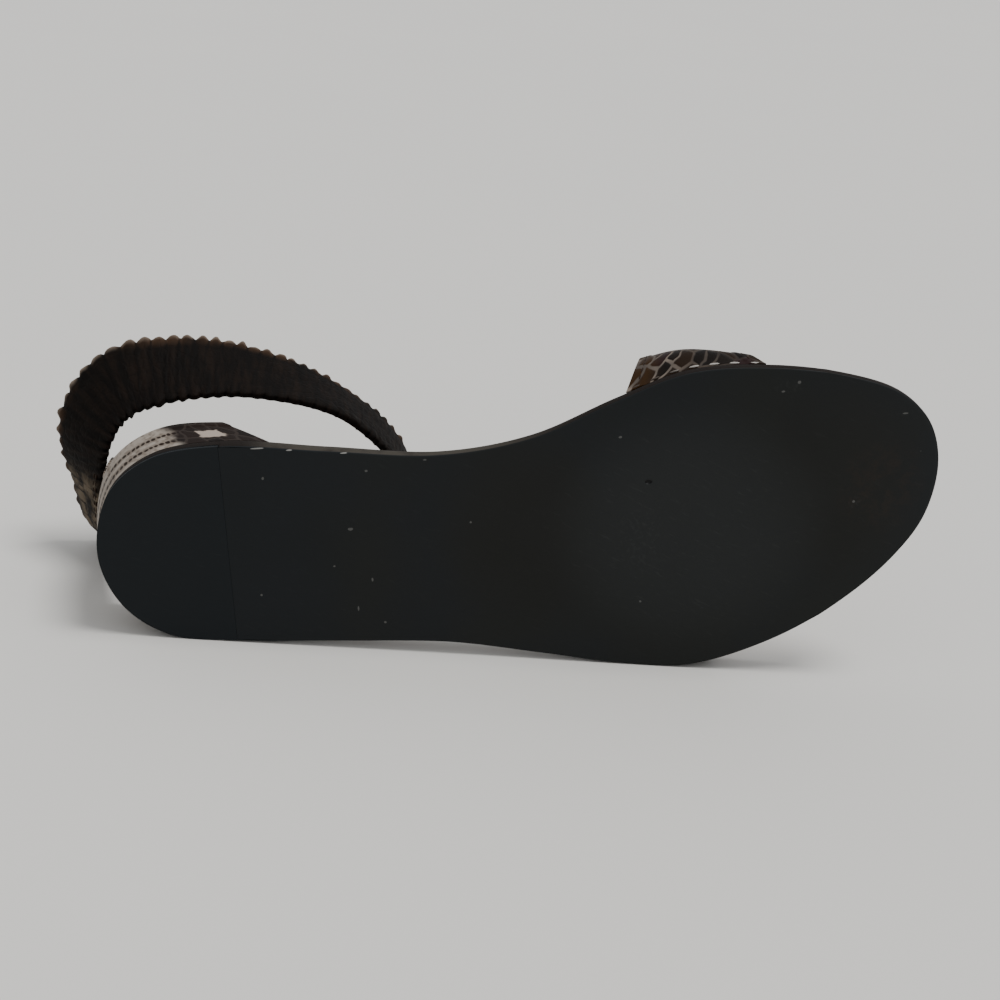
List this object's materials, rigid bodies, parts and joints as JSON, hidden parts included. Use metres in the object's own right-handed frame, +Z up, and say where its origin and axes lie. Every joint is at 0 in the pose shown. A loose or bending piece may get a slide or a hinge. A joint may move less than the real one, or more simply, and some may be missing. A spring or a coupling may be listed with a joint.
{
  "type": "flat sandal",
  "caption": "Flat open-toe sandal lying on its outer side: thin outsole with heel lift, wrapped insole, wide band over the ball, low heel cup and gathered ankle strap.",
  "frame": {"origin": "on the floor that the sandal lies on, under the middle of its bounding box", "axes": "+X towards the toe, +Y from the tread towards the top of the foot, +Z up, with the outer side on the floor and the inner side on top"},
  "size_m": [0.2734, 0.0828, 0.0986],
  "materials": {
    "sole_sheet": "smooth black sheet, worn satin",
    "lift_rubber": "smooth black, matt",
    "insole_leather": "smooth brown, satin",
    "band_leather": "brown and beige snake print, satin",
    "cup_leather": "pale snake print, satin",
    "strap_leather": "dark snake print, gathered on elastic"
  },
  "bodies": {
    "root": {"outsole": "sole_sheet", "heel_lift": "lift_rubber", "insole": "insole_leather", "vamp_band": "band_leather", "heel_counter": "cup_leather", "ankle_strap": "strap_leather"}
  },
  "joints": []
}
